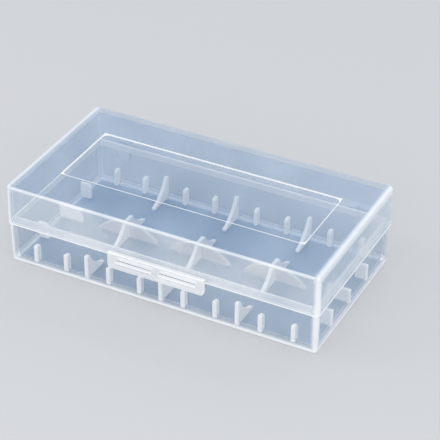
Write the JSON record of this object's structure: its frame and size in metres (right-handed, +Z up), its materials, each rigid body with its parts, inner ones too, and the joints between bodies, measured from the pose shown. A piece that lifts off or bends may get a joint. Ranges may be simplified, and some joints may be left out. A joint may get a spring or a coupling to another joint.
{
  "type": "battery storage case",
  "caption": "Hinged translucent plastic case with a snap latch that holds cylindrical cells side by side on ribbed cradles.",
  "frame": {"origin": "middle of the flat underside of the base", "axes": "+X along the cells, to the right seen from the latch side; +Y from the latch to the hinge; +Z up, out of the open base"},
  "size_m": [0.0784, 0.0452, 0.0203],
  "materials": {
    "base_plastic": "milky translucent polypropylene, satin",
    "lid_plastic": "milky translucent polypropylene, satin",
    "latch_plastic": "milky translucent polypropylene, satin"
  },
  "bodies": {
    "base": {"base_tray": "base_plastic", "front_cradle_left": "base_plastic", "front_cradle_centre": "base_plastic", "front_cradle_right": "base_plastic", "back_cradle_left": "base_plastic", "back_cradle_centre": "base_plastic", "back_cradle_right": "base_plastic", "row_divider_left": "base_plastic", "row_divider_centre": "base_plastic", "row_divider_right": "base_plastic", "end_divider_left": "base_plastic", "end_divider_right": "base_plastic", "end_stop_left_front": "base_plastic", "end_stop_left_back": "base_plastic", "end_stop_right_front": "base_plastic", "end_stop_right_back": "base_plastic", "front_rib_1": "base_plastic", "front_rib_2": "base_plastic", "front_rib_3": "base_plastic", "front_rib_4": "base_plastic", "front_rib_5": "base_plastic", "front_rib_6": "base_plastic", "front_rib_7": "base_plastic", "front_rib_8": "base_plastic", "back_rib_1": "base_plastic", "back_rib_2": "base_plastic", "back_rib_3": "base_plastic", "back_rib_4": "base_plastic", "back_rib_5": "base_plastic", "back_rib_6": "base_plastic", "back_rib_7": "base_plastic", "back_rib_8": "base_plastic", "hinge_ear_left": "base_plastic", "hinge_ear_right": "base_plastic", "catch_ridge_left": "base_plastic", "catch_ridge_right": "base_plastic"},
    "lid": {"lid_shell": "lid_plastic", "hinge_barrel": "lid_plastic"},
    "latch": {"latch_tab": "latch_plastic"}
  },
  "joints": [
    {"name": "lid_hinge", "type": "hinge", "parent": "base", "child": "lid", "pos_m": [0, 0.02215, 0.01015], "axis": [-1, 0, 0], "range_deg": [0, 180]},
    {"name": "latch_flex", "type": "hinge", "parent": "lid", "child": "latch", "pos_m": [0, -0.0206, 0.01155], "axis": [-1, 0, 0], "range_deg": [0, 15]}
  ]
}
